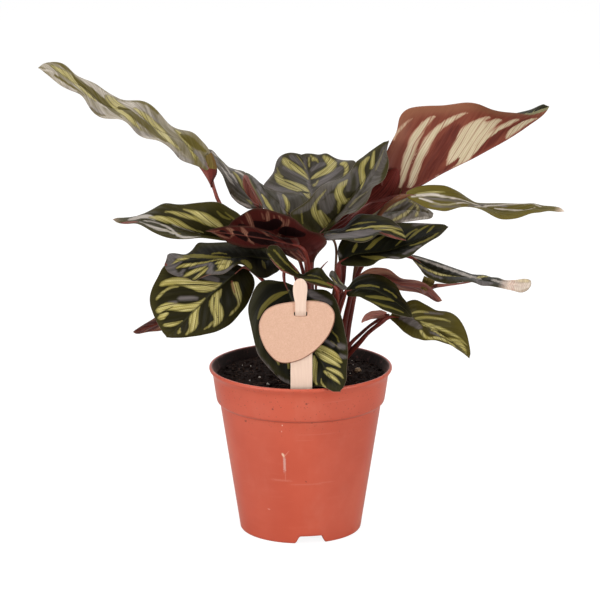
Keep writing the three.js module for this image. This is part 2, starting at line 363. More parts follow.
    [103.33, -11.16, 176.6, 101.21, -23.2, 175.12, 99.1, -35.24, 173.7],
    [107.28, -11.78, 175.34, 105.25, -24.1, 174.96, 103.23, -36.42, 174.62],
    [111.2, -12.69, 174.15, 109.27, -25.0, 174.57, 107.35, -37.31, 175.01],
    [115.23, -13.9, 174.14, 113.35, -25.9, 174.21, 111.47, -37.9, 174.32],
    [119.23, -15.31, 174.2, 117.32, -26.81, 173.46, 115.42, -38.31, 172.76],
    [123.1, -16.89, 173.32, 121.35, -27.78, 172.96, 119.61, -38.67, 172.64],
    [127.1, -18.69, 173.38, 125.44, -28.85, 172.74, 123.8, -39.01, 172.13],
    [130.9, -20.79, 172.44, 129.43, -30.01, 171.86, 127.97, -39.22, 171.31],
    [134.84, -23.27, 172.81, 133.49, -31.2, 171.57, 132.15, -39.13, 170.36],
    [138.76, -26.2, 173.75, 137.56, -32.4, 171.49, 136.36, -38.6, 169.26],
    [142.61, -29.48, 175.13, 141.6, -33.6, 171.59, 140.6, -37.72, 168.07],
    [146.39, -32.79, 175.32, 145.44, -34.8, 172.23, 144.49, -36.81, 169.16],
    [147.29, -35.63, 172.89, 147.11, -36.0, 172.32, 146.94, -36.37, 171.75],
  ],
  "16": [
    [24.32, -17.01, 186.6, 24.72, -17.01, 182.97, 26.02, -17.01, 181.45],
    [23.89, -12.4, 190.26, 28.37, -17.18, 185.08, 30.15, -23.0, 182.03],
    [25.3, -9.89, 194.2, 32.01, -17.34, 187.2, 34.38, -26.98, 182.78],
    [27.9, -9.31, 197.87, 35.91, -17.51, 188.49, 38.63, -29.23, 183.12],
    [31.8, -9.4, 200.5, 40.05, -17.68, 189.01, 42.87, -31.01, 183.64],
    [36.05, -9.59, 202.4, 44.19, -17.82, 189.5, 46.75, -32.74, 185.45],
    [40.48, -9.83, 203.91, 48.35, -17.88, 189.82, 50.14, -34.09, 188.34],
    [44.98, -9.91, 205.12, 52.51, -17.82, 190.11, 54.25, -34.65, 189.6],
    [49.54, -9.56, 206.06, 56.56, -17.68, 190.99, 58.52, -34.36, 189.4],
    [54.15, -8.85, 206.7, 60.54, -17.51, 192.21, 62.82, -33.6, 188.96],
    [58.82, -8.1, 206.93, 64.52, -17.34, 193.43, 67.0, -32.74, 189.74],
    [63.49, -7.42, 207.18, 68.51, -17.17, 194.64, 70.97, -31.94, 191.19],
    [68.19, -6.78, 206.98, 72.39, -16.95, 196.12, 74.15, -31.08, 193.88],
    [72.88, -6.28, 206.74, 76.18, -16.67, 197.81, 77.55, -29.9, 196.29],
    [77.55, -6.19, 206.58, 79.98, -16.34, 199.49, 81.14, -28.29, 198.39],
    [82.2, -6.7, 206.47, 83.79, -16.01, 201.16, 84.91, -26.26, 200.16],
    [86.8, -8.08, 206.55, 87.61, -15.68, 202.77, 88.71, -23.65, 201.81],
    [91.32, -10.88, 206.91, 91.44, -15.34, 204.39, 92.0, -19.92, 203.97],
    [95.25, -14.4, 206.35, 95.26, -15.01, 206.0, 95.35, -15.7, 205.94],
  ],
  "17": [
    [14.38, -17.21, 202.8, 15.02, -17.21, 200.5, 14.7, -17.21, 198.85],
    [17.97, -11.59, 202.33, 18.03, -17.54, 201.02, 17.47, -23.31, 198.93],
    [21.61, -7.84, 202.01, 21.04, -17.88, 201.53, 20.48, -27.64, 200.04],
    [25.24, -5.97, 202.08, 24.05, -18.21, 202.05, 23.51, -30.23, 200.86],
    [28.76, -5.16, 202.87, 27.05, -18.54, 202.56, 26.56, -31.86, 201.26],
    [31.19, -5.07, 205.52, 30.05, -18.87, 203.1, 29.59, -32.88, 201.4],
    [33.93, -5.5, 208.03, 33.04, -19.15, 203.65, 32.51, -33.37, 200.56],
    [36.9, -6.23, 210.27, 36.04, -19.37, 204.19, 35.53, -33.46, 200.08],
    [40.14, -6.99, 212.07, 39.03, -19.54, 204.73, 38.58, -33.38, 199.76],
    [43.72, -7.63, 212.64, 42.03, -19.71, 205.25, 41.6, -33.36, 200.27],
    [47.3, -8.26, 212.64, 45.02, -19.88, 205.63, 44.34, -33.48, 201.53],
    [50.85, -9.06, 212.13, 48.04, -20.04, 205.28, 46.88, -33.56, 203.31],
    [54.35, -10.01, 211.44, 51.05, -20.21, 204.93, 49.41, -33.29, 205.01],
    [57.75, -10.96, 210.51, 54.06, -20.38, 204.58, 52.33, -32.5, 204.37],
    [60.67, -11.98, 208.55, 57.07, -20.54, 204.23, 55.32, -31.33, 203.26],
    [63.43, -13.24, 206.49, 59.75, -20.71, 202.83, 58.34, -29.92, 202.11],
    [65.56, -14.94, 203.89, 62.41, -20.88, 201.35, 61.37, -28.07, 200.86],
    [66.93, -17.56, 201.14, 65.06, -21.04, 199.86, 64.51, -25.18, 199.68],
    [68.03, -20.62, 198.59, 67.72, -21.21, 198.37, 67.63, -21.9, 198.34],
  ],
  "18": [
    [36.4, 26.0, 204.3, 37.73, 26.0, 199.93, 39.07, 26.0, 195.56],
    [40.35, 31.69, 205.89, 41.76, 26.67, 201.48, 43.16, 21.64, 197.09],
    [44.3, 35.81, 207.83, 45.8, 27.33, 203.03, 47.28, 18.86, 198.28],
    [48.64, 38.31, 209.23, 50.03, 28.0, 204.2, 51.41, 17.69, 199.23],
    [53.25, 39.85, 210.25, 54.41, 28.67, 205.11, 55.55, 17.48, 200.04],
    [57.84, 40.74, 211.39, 58.78, 29.31, 206.01, 59.71, 17.89, 200.72],
    [62.52, 41.0, 212.26, 63.21, 29.88, 206.71, 63.9, 18.75, 201.24],
    [67.2, 40.69, 213.05, 67.67, 30.31, 207.23, 68.13, 19.94, 201.49],
    [71.92, 40.05, 213.46, 72.15, 30.67, 207.57, 72.37, 21.29, 201.73],
    [76.11, 39.21, 211.6, 76.36, 31.0, 206.8, 76.61, 22.79, 202.05],
    [80.18, 37.89, 209.42, 80.53, 31.33, 205.79, 80.88, 24.77, 202.18],
    [83.98, 35.49, 207.14, 84.58, 31.67, 204.62, 85.18, 27.85, 202.11],
    [87.49, 32.58, 205.28, 87.58, 32.0, 204.89, 87.68, 31.42, 204.51],
  ],
  "19": [
    [29.05, -32.08, 169.72, 28.42, -32.08, 167.09, 29.71, -32.08, 164.45],
    [31.91, -26.92, 171.2, 31.36, -32.83, 168.21, 32.34, -38.15, 165.43],
    [34.26, -23.87, 173.65, 34.31, -33.58, 169.33, 35.03, -42.51, 166.53],
    [37.51, -22.85, 175.4, 37.27, -34.33, 170.2, 37.67, -45.15, 166.95],
    [41.11, -22.79, 176.67, 40.34, -35.08, 170.01, 40.12, -46.82, 166.09],
    [44.96, -23.08, 177.06, 43.39, -35.83, 169.82, 42.58, -47.93, 165.1],
    [48.75, -23.61, 176.83, 46.45, -36.58, 169.63, 45.05, -48.65, 164.01],
    [52.51, -24.4, 176.2, 49.29, -37.33, 168.7, 47.43, -49.15, 162.69],
    [55.87, -25.33, 174.53, 52.01, -38.08, 167.4, 49.75, -49.48, 161.22],
    [59.0, -26.27, 172.5, 54.73, -38.83, 166.09, 52.12, -49.66, 159.79],
    [61.7, -27.21, 169.9, 57.45, -39.58, 164.79, 54.7, -49.77, 158.79],
    [63.53, -28.31, 166.75, 59.97, -40.33, 163.17, 57.29, -49.8, 157.76],
    [65.19, -29.82, 163.55, 62.41, -41.08, 161.41, 59.88, -49.73, 156.71],
    [67.55, -31.91, 161.01, 64.85, -41.83, 159.66, 62.59, -49.47, 156.01],
    [69.53, -34.75, 158.43, 67.13, -42.58, 157.74, 65.33, -48.76, 155.2],
    [70.68, -38.81, 155.75, 69.06, -43.33, 155.45, 68.11, -46.99, 154.18],
    [71.23, -43.42, 153.2, 70.99, -44.08, 153.16, 70.83, -44.72, 152.93],
  ],
  "20": [
    [58.19, -26.0, 151.02, 56.91, -26.0, 149.03, 58.22, -26.0, 147.04],
    [61.98, -21.85, 153.23, 60.64, -27.5, 149.24, 60.77, -33.39, 146.53],
    [65.84, -20.06, 155.86, 64.37, -29.0, 149.44, 63.2, -38.41, 145.21],
    [69.89, -20.28, 158.37, 68.09, -30.5, 149.65, 65.67, -41.25, 143.31],
    [74.67, -20.97, 159.14, 71.72, -32.0, 149.52, 68.56, -43.41, 141.73],
    [78.99, -21.56, 157.19, 75.01, -33.5, 148.08, 71.58, -45.75, 140.53],
    [83.24, -22.48, 155.05, 78.29, -35.0, 146.65, 74.95, -48.24, 140.16],
    [87.44, -24.39, 153.17, 81.58, -36.5, 145.22, 78.33, -50.61, 139.91],
    [92.06, -27.58, 153.39, 84.86, -38.0, 143.79, 81.82, -52.69, 140.46],
    [96.48, -31.33, 153.24, 88.13, -39.5, 142.36, 85.33, -54.33, 140.89],
    [100.3, -34.4, 151.3, 91.24, -41.0, 140.65, 88.72, -55.47, 140.26],
    [103.25, -36.15, 147.85, 94.29, -42.5, 138.85, 92.1, -56.13, 139.25],
    [105.46, -37.09, 143.7, 97.34, -44.0, 137.06, 95.49, -56.36, 138.13],
    [107.0, -38.22, 139.31, 100.39, -45.5, 135.27, 98.53, -56.17, 136.05],
    [107.93, -40.45, 135.03, 103.04, -47.0, 133.04, 101.6, -55.33, 133.8],
    [108.5, -44.46, 131.17, 105.32, -48.5, 130.39, 104.65, -53.29, 131.07],
    [108.03, -49.46, 127.86, 107.6, -50.0, 127.76, 107.51, -50.69, 127.85],
  ],
  "21": [
    [38.38, -14.0, 169.99, 37.79, -14.0, 171.75, 37.2, -14.0, 173.51],
    [42.91, -8.78, 167.22, 42.1, -13.75, 172.56, 41.29, -18.72, 177.87],
    [47.43, -5.3, 164.87, 46.73, -13.5, 172.75, 46.04, -21.7, 180.57],
    [52.01, -3.38, 163.23, 51.63, -13.25, 172.16, 51.24, -23.12, 181.0],
    [56.61, -2.1, 161.84, 56.47, -13.0, 171.08, 56.33, -23.9, 180.23],
    [61.28, -1.17, 161.01, 60.93, -12.75, 169.18, 60.58, -24.33, 177.28],
    [65.94, -0.76, 160.34, 65.44, -12.5, 167.34, 64.94, -24.24, 174.27],
    [70.58, -1.0, 159.83, 70.37, -12.3, 166.61, 70.16, -23.59, 173.33],
    [75.19, -1.97, 159.48, 75.3, -12.28, 165.95, 75.4, -22.59, 172.36],
    [79.54, -3.65, 158.47, 79.87, -12.55, 164.34, 80.2, -21.45, 170.17],
    [83.6, -6.09, 156.89, 84.06, -13.0, 161.73, 84.51, -19.91, 166.55],
    [87.4, -9.56, 155.26, 87.83, -13.5, 158.65, 88.25, -17.44, 162.02],
    [91.73, -13.47, 156.49, 91.79, -14.0, 156.94, 91.85, -14.53, 157.39],
  ],
  "22": [
    [55.73, -22.0, 151.34, 55.74, -22.0, 149.51, 55.75, -22.0, 147.68],
    [53.63, -24.28, 152.54, 53.87, -22.4, 149.83, 54.12, -20.52, 147.12],
    [51.55, -25.96, 153.58, 52.01, -22.8, 150.15, 52.46, -19.64, 146.7],
    [49.43, -27.0, 153.68, 50.11, -23.2, 150.07, 50.79, -19.4, 146.45],
    [47.32, -27.65, 153.65, 48.21, -23.6, 149.98, 49.1, -19.55, 146.3],
    [45.25, -28.03, 153.43, 46.32, -24.0, 149.83, 47.4, -19.97, 146.22],
    [43.37, -28.21, 152.5, 44.54, -24.4, 149.34, 45.71, -20.59, 146.16],
    [41.61, -28.21, 151.38, 42.85, -24.8, 148.6, 44.09, -21.39, 145.8],
    [40.37, -27.95, 149.57, 41.42, -25.2, 147.54, 42.47, -22.45, 145.5],
    [39.45, -27.22, 147.52, 40.15, -25.6, 146.4, 40.85, -23.98, 145.28],
    [39.05, -26.54, 145.42, 39.29, -26.0, 145.04, 39.52, -25.46, 144.67],
  ],
  "23": [
    [27.07, -36.05, 169.05, 28.7, -36.05, 169.9, 30.32, -36.05, 170.75],
    [25.77, -37.85, 170.54, 27.44, -36.05, 171.0, 29.11, -34.25, 171.46],
    [24.49, -39.1, 171.9, 26.18, -36.05, 172.1, 27.88, -33.0, 172.29],
    [23.22, -39.72, 173.1, 24.93, -36.05, 173.19, 26.64, -32.38, 173.29],
    [21.95, -39.91, 174.2, 23.71, -36.05, 174.32, 25.48, -32.19, 174.45],
    [20.96, -39.79, 175.5, 22.8, -36.05, 175.73, 24.65, -32.31, 175.96],
    [19.99, -39.41, 176.75, 21.9, -36.05, 177.14, 23.82, -32.69, 177.54],
    [19.02, -38.81, 177.94, 21.0, -36.05, 178.56, 22.98, -33.29, 179.17],
    [18.18, -38.08, 179.2, 20.09, -36.05, 179.95, 22.0, -34.02, 180.7],
    [18.35, -37.17, 180.47, 19.51, -36.05, 181.17, 20.67, -34.93, 181.88],
    [18.59, -36.5, 181.43, 19.05, -36.05, 181.71, 19.51, -35.6, 181.99],
  ],
};

// Each petiole: rows from the soil to the blade, xyz and radius.
const STEM_ROWS = {
  "01": [
    [-5.0, 9.0, 88.0, 1.7],
    [-3.67, 9.05, 110.94, 1.7],
    [-0.46, 9.06, 130.97, 1.7],
    [1.65, 8.76, 151.09, 1.57],
    [-3.87, 6.24, 172.88, 1.42],
    [-23.93, 6.34, 184.25, 1.28],
    [-38.98, 9.36, 197.45, 1.15],
    [-51.27, 11.45, 213.44, 1.15],
    [-58.49, 14.0, 234.42, 1.15],
  ],
  "02": [
    [0.0, 15.0, 88.0, 1.6],
    [0.26, 15.09, 105.34, 1.6],
    [1.62, 15.77, 120.46, 1.6],
    [2.89, 17.32, 135.44, 1.48],
    [3.55, 19.09, 152.7, 1.35],
    [1.07, 22.01, 169.61, 1.22],
    [-4.43, 28.67, 182.02, 1.1],
    [-13.12, 36.23, 191.92, 1.1],
    [-24.21, 38.0, 204.43, 1.1],
  ],
  "2b": [
    [4.0, 9.0, 88.0, 1.6],
    [4.05, 8.94, 104.22, 1.6],
    [4.36, 8.44, 118.42, 1.6],
    [4.61, 7.81, 132.61, 1.48],
    [4.72, 6.83, 148.89, 1.35],
    [4.4, 6.1, 165.07, 1.22],
    [3.03, 5.55, 179.15, 1.1],
    [-0.32, 7.38, 192.79, 1.1],
    [-4.3, 3.72, 207.13, 1.1],
  ],
  "03": [
    [-9.0, 3.0, 88.0, 1.7],
    [-8.56, 2.95, 104.65, 1.7],
    [-5.71, 2.59, 119.17, 1.7],
    [-2.71, 2.12, 133.65, 1.56],
    [0.17, 1.44, 150.3, 1.4],
    [0.08, 0.46, 167.09, 1.24],
    [-7.98, -0.31, 179.22, 1.1],
    [-20.2, 1.97, 187.1, 1.1],
    [-35.49, 2.0, 193.54, 1.1],
  ],
  "4a": [
    [6.0, -2.0, 88.0, 2.0],
    [6.0, -1.93, 100.86, 2.0],
    [5.96, -2.81, 112.11, 2.0],
    [5.89, -4.03, 123.32, 1.88],
    [5.79, -5.81, 136.09, 1.75],
    [5.66, -8.09, 148.78, 1.62],
    [5.5, -10.77, 159.73, 1.5],
    [5.22, -14.91, 170.18, 1.5],
    [3.53, -20.22, 181.72, 1.5],
  ],
  "4b": [
    [1.0, -8.0, 88.0, 1.7],
    [1.03, -8.02, 103.12, 1.7],
    [1.42, -8.52, 116.34, 1.7],
    [1.95, -9.45, 129.53, 1.56],
    [2.7, -11.2, 144.54, 1.4],
    [3.68, -14.28, 159.31, 1.24],
    [4.86, -19.47, 171.4, 1.1],
    [5.14, -24.98, 183.28, 1.1],
    [1.52, -30.46, 196.27, 1.1],
  ],
  "05": [
    [-5.0, -8.0, 88.0, 1.6],
    [-5.07, -8.01, 101.21, 1.6],
    [-3.89, -7.97, 112.78, 1.6],
    [-2.55, -8.05, 124.33, 1.48],
    [-1.09, -8.42, 137.52, 1.35],
    [0.04, -9.31, 150.73, 1.22],
    [0.07, -11.15, 162.19, 1.1],
    [-2.54, -14.94, 172.79, 1.1],
    [-8.75, -22.04, 181.83, 1.1],
  ],
  "06": [
    [-13.0, -12.0, 88.0, 1.7],
    [-13.0, -12.0, 102.04, 1.7],
    [-11.19, -13.29, 114.27, 1.7],
    [-9.49, -14.95, 126.48, 1.58],
    [-8.57, -17.19, 140.47, 1.45],
    [-11.06, -19.75, 154.14, 1.32],
    [-17.35, -21.29, 164.71, 1.2],
    [-25.92, -20.23, 173.47, 1.2],
    [-34.88, -19.31, 181.47, 1.2],
  ],
  "08": [
    [-11.0, -3.0, 88.0, 1.5],
    [-9.57, -3.19, 109.96, 1.5],
    [-5.66, -3.84, 129.13, 1.5],
    [-2.18, -4.76, 148.36, 1.38],
    [-1.99, -6.56, 170.48, 1.25],
    [-18.95, -4.93, 183.25, 1.12],
    [-37.93, -2.97, 181.25, 1.0],
    [-53.82, -4.58, 170.09, 1.0],
    [-67.44, -8.0, 152.87, 1.0],
  ],
  "09": [
    [-2.0, -14.0, 88.0, 1.7],
    [-1.99, -14.1, 103.15, 1.7],
    [-1.92, -15.55, 116.4, 1.7],
    [-1.88, -17.24, 129.62, 1.54],
    [-1.91, -19.28, 144.72, 1.35],
    [-2.13, -21.27, 159.82, 1.16],
    [-2.88, -22.78, 173.04, 1.0],
    [-8.17, -28.11, 183.28, 1.0],
    [-10.62, -34.19, 176.01, 1.0],
  ],
  "10": [
    [16.0, -13.0, 88.0, 1.5],
    [15.94, -12.75, 100.38, 1.5],
    [16.47, -14.86, 111.13, 1.5],
    [17.22, -17.74, 121.69, 1.38],
    [18.32, -21.75, 133.52, 1.25],
    [19.77, -26.66, 144.96, 1.12],
    [21.54, -32.1, 154.25, 1.0],
    [23.4, -38.07, 162.74, 1.0],
    [23.1, -45.87, 173.07, 1.0],
  ],
  "11": [
    [8.0, 15.0, 88.0, 1.7],
    [7.88, 15.09, 104.7, 1.7],
    [7.15, 15.6, 119.33, 1.7],
    [6.4, 15.7, 134.09, 1.56],
    [5.71, 16.1, 150.88, 1.4],
    [5.53, 17.75, 167.38, 1.24],
    [6.44, 18.27, 181.91, 1.1],
    [7.3, 16.83, 196.44, 1.1],
    [7.44, 16.36, 213.07, 1.1],
  ],
  "12": [
    [9.0, 4.0, 88.0, 1.8],
    [8.97, 3.98, 102.67, 1.8],
    [8.34, 3.51, 115.49, 1.8],
    [7.64, 2.86, 128.31, 1.68],
    [6.86, 1.93, 142.95, 1.55],
    [6.25, 0.71, 157.57, 1.42],
    [6.17, -0.89, 170.32, 1.3],
    [7.05, -2.04, 183.07, 1.3],
    [9.96, -3.65, 197.14, 1.3],
  ],
  "13": [
    [13.0, 10.0, 88.0, 2.0],
    [12.19, 10.14, 110.18, 2.0],
    [9.93, 10.43, 129.55, 2.0],
    [7.75, 10.43, 148.94, 1.87],
    [6.91, 9.02, 171.13, 1.73],
    [11.13, 5.77, 192.53, 1.58],
    [26.56, 9.21, 203.34, 1.45],
    [41.46, 17.26, 212.99, 1.45],
    [61.8, 24.0, 216.17, 1.45],
  ],
  "14": [
    [25.0, 10.0, 88.0, 2.3],
    [25.53, 10.05, 107.6, 2.3],
    [27.75, 10.34, 124.66, 2.3],
    [30.67, 10.96, 141.61, 2.07],
    [34.56, 12.08, 160.85, 1.8],
    [38.14, 11.93, 180.17, 1.53],
    [44.6, 12.19, 196.1, 1.3],
    [53.26, 11.54, 210.92, 1.3],
    [66.35, 4.0, 222.31, 1.3],
  ],
  "15": [
    [27.0, 4.0, 88.0, 2.0],
    [27.19, 4.03, 105.04, 2.0],
    [28.48, 4.15, 119.92, 2.0],
    [30.23, 4.16, 134.76, 1.81],
    [33.19, 3.56, 151.55, 1.6],
    [36.34, 1.25, 168.16, 1.39],
    [43.05, -1.86, 180.84, 1.2],
    [55.0, -7.84, 187.2, 1.2],
    [69.81, -16.0, 187.03, 1.2],
  ],
  "16": [
    [20.0, -4.0, 88.0, 1.9],
    [19.99, -3.92, 100.71, 1.9],
    [20.15, -4.79, 111.82, 1.9],
    [20.43, -5.94, 122.91, 1.83],
    [20.92, -7.5, 135.55, 1.75],
    [21.71, -9.39, 148.12, 1.67],
    [23.0, -11.56, 158.98, 1.6],
    [24.66, -14.38, 169.62, 1.6],
    [23.44, -17.01, 181.98, 1.6],
  ],
  "17": [
    [14.0, -4.0, 88.0, 1.3],
    [14.1, -4.07, 104.25, 1.3],
    [15.03, -4.59, 118.45, 1.3],
    [16.39, -5.24, 132.61, 1.18],
    [18.74, -6.08, 148.69, 1.05],
    [22.0, -7.21, 164.58, 0.92],
    [22.75, -8.0, 178.76, 0.8],
    [22.51, -8.92, 192.92, 0.8],
    [13.09, -17.21, 200.83, 0.8],
  ],
  "18": [
    [19.0, 5.0, 88.0, 1.8],
    [19.07, 4.98, 103.8, 1.8],
    [19.8, 4.91, 117.62, 1.8],
    [20.94, 5.01, 131.41, 1.73],
    [23.01, 5.64, 147.07, 1.65],
    [26.98, 7.92, 162.18, 1.57],
    [28.31, 11.06, 175.51, 1.5],
    [29.88, 18.29, 187.2, 1.5],
    [35.39, 26.0, 199.42, 1.5],
  ],
  "19": [
    [24.0, -13.2, 88.0, 1.7],
    [24.01, -13.51, 99.23, 1.7],
    [23.96, -14.02, 108.91, 1.7],
    [23.94, -13.96, 118.3, 1.58],
    [23.9, -16.37, 129.48, 1.45],
    [23.92, -18.89, 140.33, 1.32],
    [24.01, -22.11, 149.51, 1.2],
    [24.28, -27.3, 157.69, 1.2],
    [26.82, -32.08, 166.43, 1.2],
  ],
  "20": [
    [27.0, -6.8, 88.0, 2.2],
    [27.13, -6.84, 98.0, 2.2],
    [26.95, -7.38, 106.63, 2.2],
    [27.98, -8.6, 114.92, 1.99],
    [32.81, -12.02, 122.65, 1.75],
    [38.56, -16.36, 129.96, 1.51],
    [43.39, -19.55, 136.51, 1.3],
    [49.34, -22.18, 142.27, 1.3],
    [55.41, -26.0, 149.03, 1.3],
  ],
  "21": [
    [25.0, -2.6, 88.0, 2.1],
    [24.86, -2.3, 99.38, 2.1],
    [25.54, -2.71, 109.41, 2.1],
    [26.47, -3.28, 119.43, 1.94],
    [27.79, -3.97, 130.8, 1.75],
    [29.42, -4.9, 142.12, 1.56],
    [31.32, -6.25, 151.87, 1.4],
    [33.16, -8.47, 161.48, 1.4],
    [35.51, -14.0, 171.0, 1.4],
  ],
  "22": [
    [28.5, -12.0, 88.0, 1.5],
    [28.73, -11.91, 98.32, 1.5],
    [28.17, -12.31, 107.38, 1.5],
    [28.15, -13.31, 116.54, 1.37],
    [31.13, -14.24, 126.25, 1.23],
    [37.83, -14.98, 133.91, 1.08],
    [44.49, -14.87, 140.02, 0.95],
    [51.78, -15.69, 145.23, 0.95],
    [58.11, -22.0, 149.92, 0.95],
  ],
  "23": [
    [20.5, -11.6, 88.0, 1.3],
    [20.41, -10.44, 99.01, 1.3],
    [20.81, -13.09, 108.81, 1.3],
    [21.37, -17.57, 118.73, 1.21],
    [22.22, -20.85, 129.29, 1.1],
    [23.28, -25.17, 139.93, 0.99],
    [24.49, -29.15, 149.14, 0.9],
    [26.28, -33.25, 158.23, 0.9],
    [29.63, -36.05, 168.72, 0.9],
  ],
  "24": [
    [12.0, -12.0, 88.0, 1.3],
    [12.0, -12.0, 101.97, 1.3],
    [11.5, -13.06, 114.19, 1.3],
    [10.95, -14.51, 126.37, 1.18],
    [10.37, -16.58, 140.23, 1.05],
    [9.93, -19.24, 154.0, 0.92],
    [9.86, -22.42, 165.85, 0.8],
    [10.9, -27.49, 176.93, 0.8],
    [17.6, -33.0, 187.68, 0.8],
  ],
};

// Outline of the label card, x and z.
const CARD_OUTLINE = [[-24.18, 157.53], [-21.38, 161.06], [-15.23, 164.27], [-4.9, 166.03], [4.73, 166.75], [12.27, 166.16], [17.09, 164.59], [20.52, 161.06], [21.8, 156.81], [20.93, 151.12], [17.84, 144.03], [12.32, 136.87], [6.16, 131.54], [-0.78, 127.58], [-7.66, 125.8], [-13.2, 126.13], [-17.34, 128.64], [-22.16, 134.77], [-25.25, 141.87], [-26.38, 147.58], [-26.23, 152.56]];

const wasm = await Module();
wasm.setup();

// ---------------------------------------------------------------- helpers
function meshOf(name, positions, indices, color, rough) {
  const g = new THREE.BufferGeometry();
  g.setAttribute("position", new THREE.Float32BufferAttribute(positions, 3));
  g.setIndex(indices);
  g.computeVertexNormals();
  const m = new THREE.Mesh(g, new THREE.MeshStandardMaterial({ color, roughness: rough, metalness: 0 }));
  m.material.name = name + "_finish";
  m.name = name;
  return m;
}
function solidOf(positions, indices) {
  return new wasm.Manifold(new wasm.Mesh({
    numProp: 3,
    vertProperties: new Float32Array(positions),
    triVerts: new Uint32Array(indices),
  }));
}
function meshFromSolid(name, solid, color, rough) {
  const m = solid.getMesh();
  const p = [];
  for (let i = 0; i < m.numVert; i++) p.push(m.vertProperties[i * m.numProp], m.vertProperties[i * m.numProp + 1], m.vertProperties[i * m.numProp + 2]);
  return meshOf(name, p, Array.from(m.triVerts), color, rough);
}

// Shared vertices and no slivers: positions and indices of one closed body.
function weld(g) {
  const p = g.attributes.position, key = new Map(), pos = [], idx = [];
  const src = g.index ? Array.from(g.index.array) : Array.from({ length: p.count }, (_, i) => i);
  const at = (i) => {
    const v = [p.getX(i), p.getY(i), p.getZ(i)], s = v.map((q) => (Math.abs(q) < 5e-5 ? 0 : q).toFixed(4)).join();
    if (!key.has(s)) { key.set(s, pos.length / 3); pos.push(...v); }
    return key.get(s);
  };
  for (let i = 0; i < src.length; i += 3) {
    const [a, b, c] = [at(src[i]), at(src[i + 1]), at(src[i + 2])];
    if (a !== b && b !== c && a !== c) idx.push(a, b, c);
  }
  let v = 0;
  for (let i = 0; i < idx.length; i += 3) {
    const [a, b, c] = [0, 1, 2].map((k) => new THREE.Vector3().fromArray(pos, idx[i + k] * 3));
    v += a.dot(b.cross(c));
  }
  if (v < 0) for (let i = 0; i < idx.length; i += 3) [idx[i + 1], idx[i + 2]] = [idx[i + 2], idx[i + 1]];
  return [pos, idx];
}

// Body of revolution about Z from a closed profile of [radius, z] points.
function revolve(profile, segments, bump) {
  const loop = [...profile, profile[0]].map(([r, z]) => new THREE.Vector2(r, z));
  const g = new THREE.LatheGeometry(loop, segments);
  g.rotateX(Math.PI / 2);
  const [pos, idx] = weld(g);
  if (bump) for (let i = 0; i < pos.length; i += 3) pos[i + 2] += bump(pos[i], pos[i + 1], pos[i + 2]);
  return [pos, idx];
}

// Tube through rows of [x, y, z, radius].
function tube(rows, sides, grow = 0) {
  const pts = rows.map((r) => new THREE.Vector3(r[0], r[1], r[2]));
  const pos = [], idx = [];
  let u = new THREE.Vector3(1, 0, 0);
  rows.forEach((r, i) => {
    const t = new THREE.Vector3().subVectors(pts[Math.min(i + 1, pts.length - 1)], pts[Math.max(i - 1, 0)]).normalize();
    u.addScaledVector(t, -u.dot(t)).normalize();
    const v = new THREE.Vector3().crossVectors(t, u);
    for (let s = 0; s < sides; s++) {
      const a = (2 * Math.PI * s) / sides, q = r[3] + grow;
      pos.push(pts[i].x + q * (Math.cos(a) * u.x + Math.sin(a) * v.x),
        pts[i].y + q * (Math.cos(a) * u.y + Math.sin(a) * v.y),
        pts[i].z + q * (Math.cos(a) * u.z + Math.sin(a) * v.z));
    }
  });
  for (let i = 0; i + 1 < rows.length; i++)
    for (let s = 0; s < sides; s++) {
      const t = (s + 1) % sides, a = i * sides + s, b = i * sides + t, c = a + sides, d = b + sides;
      idx.push(a, b, c, b, d, c);
    }
  const last = (rows.length - 1) * sides;
  for (let s = 1; s + 1 < sides; s++) {
    idx.push(0, s + 1, s);
    idx.push(last, last + s, last + s + 1);
  }
  return [pos, idx];
}

